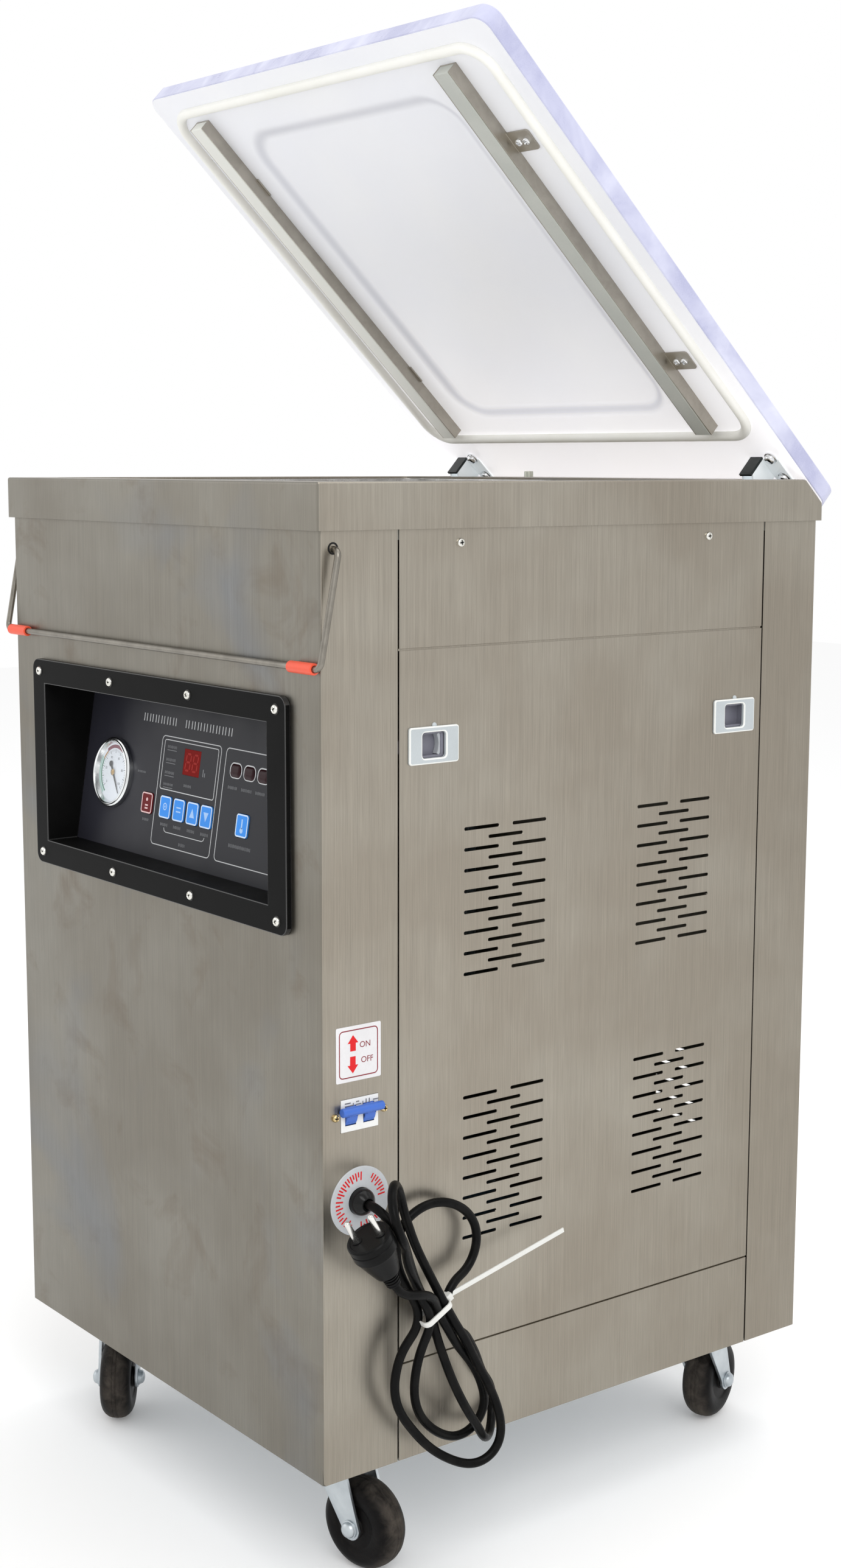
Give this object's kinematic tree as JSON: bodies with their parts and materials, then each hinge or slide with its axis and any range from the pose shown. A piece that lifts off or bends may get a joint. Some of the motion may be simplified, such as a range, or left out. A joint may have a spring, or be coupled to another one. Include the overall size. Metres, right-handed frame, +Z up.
{
  "type": "chamber vacuum sealer",
  "caption": "Floor-standing chamber vacuum sealer on swivel casters: sprung clear lid with pressure bars, seal bars, tilted control panel, hold-down bail, vented cabinet and tied mains lead.",
  "frame": {"origin": "on the floor under the middle of the object's box, lid open, without the cord", "axes": "+X to the right of someone facing the control panel, +Y to the back, +Z up; the front faces -Y"},
  "size_m": [0.552, 0.5602, 1.2265],
  "materials": {
    "stainless_sheet": "brushed vertically, warm grey",
    "zinc_plate": "bright zinc plating",
    "polished_steel": "bright, lightly brushed",
    "lid_acrylic": "clear-white cast acrylic with bluish edges",
    "gasket_rubber": "ivory, matt",
    "strip_silicone": "grey-green, satin",
    "black_plastic": "black, satin",
    "panel_film": "charcoal film, satin",
    "chrome_ring": "polished",
    "needle_black": "matt",
    "display_red": "glossy",
    "key_blue": "satin",
    "key_red": "satin",
    "white_plastic": "satin",
    "lever_blue": "satin gloss",
    "label_white": "matt",
    "latch_grey": "satin",
    "slider_grey": "satin",
    "sleeve_orange": "satin",
    "tread_rubber": "dusty, matt",
    "pump_paint": "satin paint",
    "filler_white": "matt",
    "seal_bakelite": "satin",
    "cord_rubber": "satin",
    "core_steel": "varnished",
    "board_green": "satin",
    "hose_clear": "satin",
    "tie_white": "satin",
    "cylinder_black": "satin",
    "spring_steel": "oiled"
  },
  "bodies": {
    "cabinet": {"chassis": "zinc_plate", "front_panel": "stainless_sheet", "rear_panel": "stainless_sheet", "fixed_side_panels": "stainless_sheet", "side_door_right": "stainless_sheet", "side_door_left": "stainless_sheet", "top_tray": "stainless_sheet", "chamber_tub": "polished_steel", "filler_plates": "filler_white", "lift_cylinders": "cylinder_black", "hinge_brackets": "zinc_plate", "lid_springs": "spring_steel", "bezel": "black_plastic", "panel_screws": "chrome_ring", "control_plate": "panel_film", "gauge_case": "chrome_ring", "display_window": "display_red", "breaker_body": "white_plastic", "side_plates": "label_white", "latch_bodies": "latch_grey", "caster_plates": "zinc_plate", "vacuum_pump": "pump_paint", "valve_and_hose": "hose_clear", "transformer": "core_steel", "control_board": "board_green", "cord_gland": "cord_rubber", "cord_tube": "cord_rubber", "cord_hank": "cord_rubber", "cord_tie": "tie_white", "plug": "cord_rubber"},
    "lid": {"lid": "lid_acrylic", "lid_gasket": "gasket_rubber", "pressure_bars": "polished_steel", "pressure_strips": "strip_silicone", "lid_fasteners": "chrome_ring", "hinge_arms": "zinc_plate", "hinge_shaft": "polished_steel"},
    "bail": {"bail": "polished_steel", "bail_sleeves": "sleeve_orange"},
    "breaker_lever": {"breaker_toggle": "lever_blue"},
    "needle": {"gauge_needle": "needle_black"},
    "seal_left": {"seal_bar_left": "seal_bakelite"},
    "seal_right": {"seal_bar_right": "seal_bakelite"},
    "switch_pin": {"lid_switch_pin": "strip_silicone"},
    "slider_front": {"latch_front": "slider_grey"},
    "slider_rear": {"latch_rear": "slider_grey"},
    "key_stop": {"button_stop": "key_red"},
    "key_vacuum": {"button_vacuum": "key_blue"},
    "key_seal": {"button_seal": "key_blue"},
    "key_up": {"button_up": "key_blue"},
    "key_down": {"button_down": "key_blue"},
    "key_heat": {"button_heat": "key_blue"},
    "swivel_front_left": {"fork_front_left": "zinc_plate"},
    "roller_front_left": {"wheel_front_left": "tread_rubber"},
    "swivel_front_right": {"fork_front_right": "zinc_plate"},
    "roller_front_right": {"wheel_front_right": "tread_rubber"},
    "swivel_rear_left": {"fork_rear_left": "zinc_plate"},
    "roller_rear_left": {"wheel_rear_left": "tread_rubber"},
    "swivel_rear_right": {"fork_rear_right": "zinc_plate"},
    "roller_rear_right": {"wheel_rear_right": "tread_rubber"}
  },
  "joints": [
    {"name": "lid_hinge", "type": "hinge", "parent": "cabinet", "child": "lid", "pos_m": [0, 0.22547, 0.8545], "axis": [1, 0, 0], "range_deg": [0, 43], "stiffness_Nm_per_rad": 8, "springref_deg": -74.48},
    {"name": "bail_swing", "type": "hinge", "parent": "cabinet", "child": "bail", "pos_m": [0, -0.25853, 0.8245], "axis": [-1, 0, 0], "range_deg": [0, 192]},
    {"name": "breaker_switch", "type": "hinge", "parent": "cabinet", "child": "breaker_lever", "pos_m": [0.235, -0.23603, 0.3948], "axis": [0, 1, 0], "range_deg": [0, 44]},
    {"name": "press_stop", "type": "slide", "parent": "cabinet", "child": "key_stop", "axis": [0, 0.9877, -0.1564], "range_m": [0, 0.0008], "stiffness_N_per_m": 1500, "springref_m": -0.0003},
    {"name": "press_vacuum", "type": "slide", "parent": "cabinet", "child": "key_vacuum", "axis": [0, 0.9877, -0.1564], "range_m": [0, 0.0008], "stiffness_N_per_m": 1500, "springref_m": -0.0003},
    {"name": "press_seal", "type": "slide", "parent": "cabinet", "child": "key_seal", "axis": [0, 0.9877, -0.1564], "range_m": [0, 0.0008], "stiffness_N_per_m": 1500, "springref_m": -0.0003},
    {"name": "press_up", "type": "slide", "parent": "cabinet", "child": "key_up", "axis": [0, 0.9877, -0.1564], "range_m": [0, 0.0008], "stiffness_N_per_m": 1500, "springref_m": -0.0003},
    {"name": "press_down", "type": "slide", "parent": "cabinet", "child": "key_down", "axis": [0, 0.9877, -0.1564], "range_m": [0, 0.0008], "stiffness_N_per_m": 1500, "springref_m": -0.0003},
    {"name": "press_heat", "type": "slide", "parent": "cabinet", "child": "key_heat", "axis": [0, 0.9877, -0.1564], "range_m": [0, 0.0008], "stiffness_N_per_m": 1500, "springref_m": -0.0003},
    {"name": "needle_turn", "type": "hinge", "parent": "cabinet", "child": "needle", "pos_m": [-0.129, -0.23635, 0.61586], "axis": [0, -0.9877, 0.1564], "range_deg": [0, 250], "stiffness_Nm_per_rad": 0.0004, "springref_deg": -17.19},
    {"name": "seal_left_lift", "type": "slide", "parent": "cabinet", "child": "seal_left", "axis": [0, 0, 1], "range_m": [0, 0.0055]},
    {"name": "seal_right_lift", "type": "slide", "parent": "cabinet", "child": "seal_right", "axis": [0, 0, 1], "range_m": [0, 0.0055]},
    {"name": "switch_press", "type": "slide", "parent": "cabinet", "child": "switch_pin", "axis": [0, 0, -1], "range_m": [0, 0.003], "stiffness_N_per_m": 300, "springref_m": -0.002},
    {"name": "latch_front_slide", "type": "slide", "parent": "cabinet", "child": "slider_front", "axis": [0, 1, 0], "range_m": [0, 0.006]},
    {"name": "latch_rear_slide", "type": "slide", "parent": "cabinet", "child": "slider_rear", "axis": [0, -1, 0], "range_m": [0, 0.006]},
    {"name": "swivel_front_left_turn", "type": "hinge", "parent": "cabinet", "child": "swivel_front_left", "pos_m": [-0.1805, -0.21003, 0.091], "axis": [0, 0, 1], "continuous": true},
    {"name": "wheel_front_left_spin", "type": "hinge", "parent": "swivel_front_left", "child": "roller_front_left", "pos_m": [-0.16119, -0.22511, 0.0375], "axis": [0.6157, 0.788, 0], "continuous": true},
    {"name": "swivel_front_right_turn", "type": "hinge", "parent": "cabinet", "child": "swivel_front_right", "pos_m": [0.1805, -0.21003, 0.091], "axis": [0, 0, 1], "continuous": true},
    {"name": "wheel_front_right_spin", "type": "hinge", "parent": "swivel_front_right", "child": "roller_front_right", "pos_m": [0.20446, -0.20493, 0.0375], "axis": [-0.2079, 0.9781, 0], "continuous": true},
    {"name": "swivel_rear_left_turn", "type": "hinge", "parent": "cabinet", "child": "swivel_rear_left", "pos_m": [-0.1805, 0.19597, 0.091], "axis": [0, 0, 1], "continuous": true},
    {"name": "wheel_rear_left_spin", "type": "hinge", "parent": "swivel_rear_left", "child": "roller_rear_left", "pos_m": [-0.2027, 0.18562, 0.0375], "axis": [0.4226, -0.9063, 0], "continuous": true},
    {"name": "swivel_rear_right_turn", "type": "hinge", "parent": "cabinet", "child": "swivel_rear_right", "pos_m": [0.1805, 0.19597, 0.091], "axis": [0, 0, 1], "continuous": true},
    {"name": "wheel_rear_right_spin", "type": "hinge", "parent": "swivel_rear_right", "child": "roller_rear_right", "pos_m": [0.17172, 0.21884, 0.0375], "axis": [-0.9336, -0.3584, 0], "continuous": true}
  ],
  "couplings": [
    {"joint": "seal_right_lift", "follows": "seal_left_lift", "ratio": 1}
  ]
}
